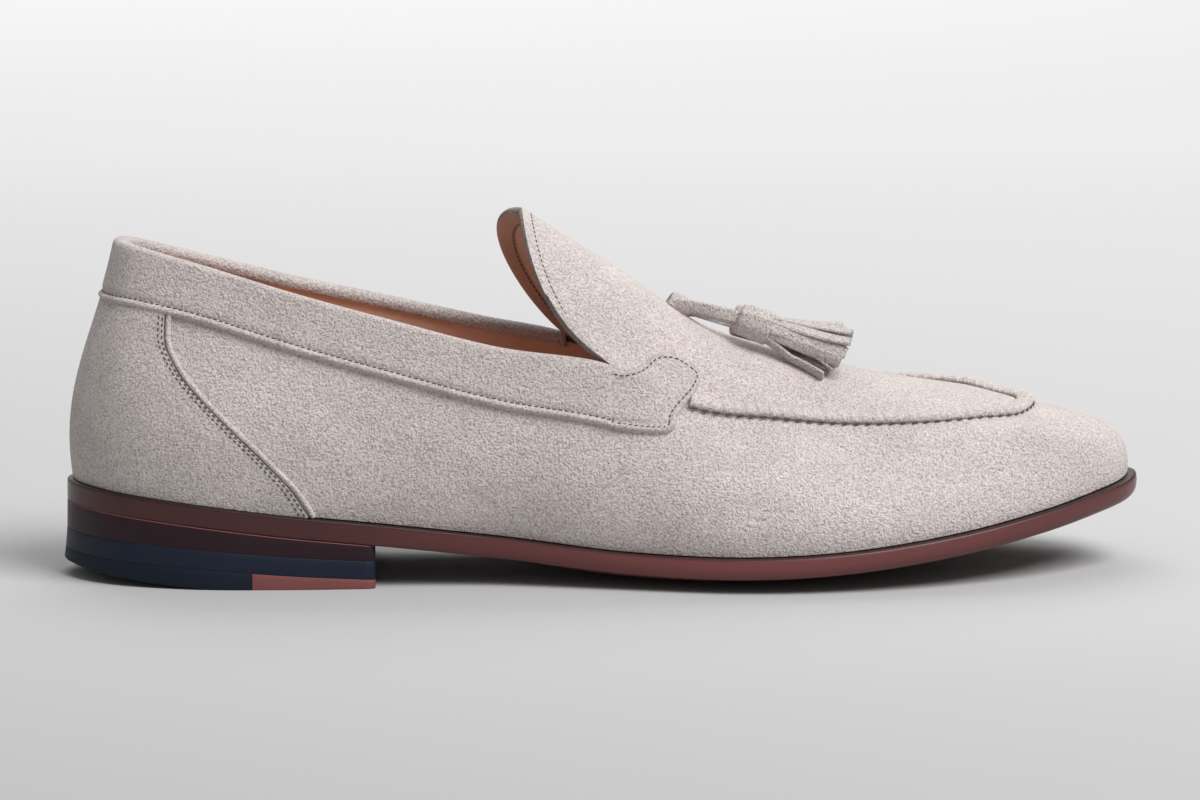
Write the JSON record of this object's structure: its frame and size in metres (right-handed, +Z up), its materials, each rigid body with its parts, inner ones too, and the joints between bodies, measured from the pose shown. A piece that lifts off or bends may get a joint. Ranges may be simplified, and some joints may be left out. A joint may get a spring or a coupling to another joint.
{
  "type": "tassel loafer",
  "caption": "Slip-on suede loafer for the right foot with a raised apron seam, tall tongue, hanging tassels, leather sole and low stacked heel.",
  "frame": {"origin": "on the floor, in the middle of the heel's flat resting face", "axes": "+X from heel to toe, +Y to the inner (medial) side, +Z up"},
  "size_m": [0.3045, 0.1041, 0.102],
  "materials": {
    "suede": "napped sand-grey suede",
    "lining": "smooth tan lining leather",
    "sole_leather": "burnished red-brown edge",
    "heel_brown": "polished dark brown stack",
    "heel_navy": "satin dark navy",
    "heel_rubber": "dull dark rubber",
    "heel_insert": "fibrous red-brown leather"
  },
  "bodies": {
    "root": {"upper": "suede", "insole": "lining", "outsole": "sole_leather", "heel_lift": "heel_brown", "heel_block": "heel_navy", "heel_tip_rubber": "heel_rubber", "heel_tip_leather": "heel_insert", "apron_seam": "suede", "collar_band": "suede", "heel_counter": "suede", "counter_piping_lateral": "suede", "counter_piping_medial": "suede", "lace_bar": "suede", "tassel_near": "suede", "tassel_far": "suede"}
  },
  "joints": []
}
